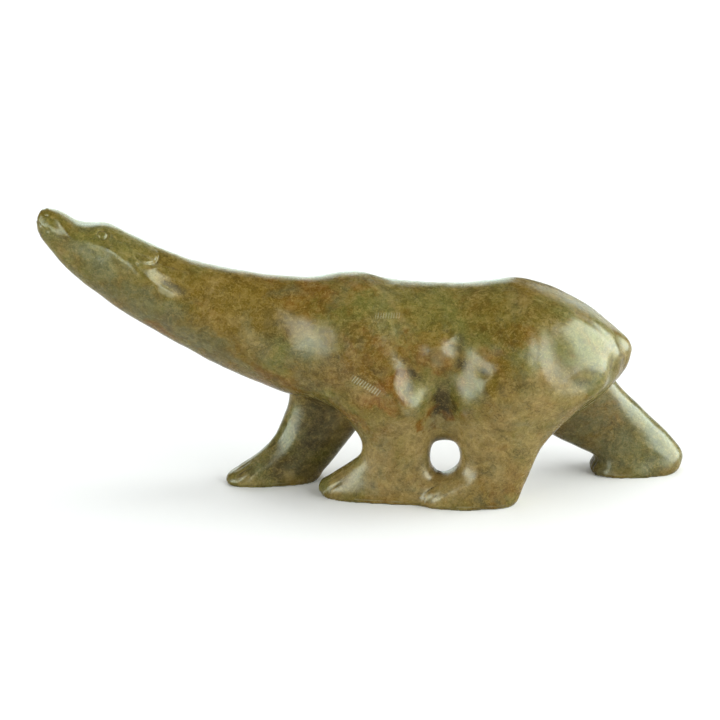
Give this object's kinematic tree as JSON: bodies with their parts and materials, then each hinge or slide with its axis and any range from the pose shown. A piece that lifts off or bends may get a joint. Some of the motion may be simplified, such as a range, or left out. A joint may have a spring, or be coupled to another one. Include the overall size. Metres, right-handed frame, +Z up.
{
  "type": "bronze polar bear sculpture",
  "caption": "Cast bronze figure of a walking polar bear with a long neck stretched up and forwards, standing on its own flat feet, smooth waxed brown and green surface.",
  "frame": {"origin": "middle of the footprint box, on the plane of the soles", "axes": "-X the way the bear faces, -Y its left side, +Z up"},
  "size_m": [0.4042, 0.1024, 0.1799],
  "materials": {
    "bronze": "brown and green patina under clear polished wax"
  },
  "bodies": {
    "root": {"polar_bear": "bronze"}
  },
  "joints": []
}
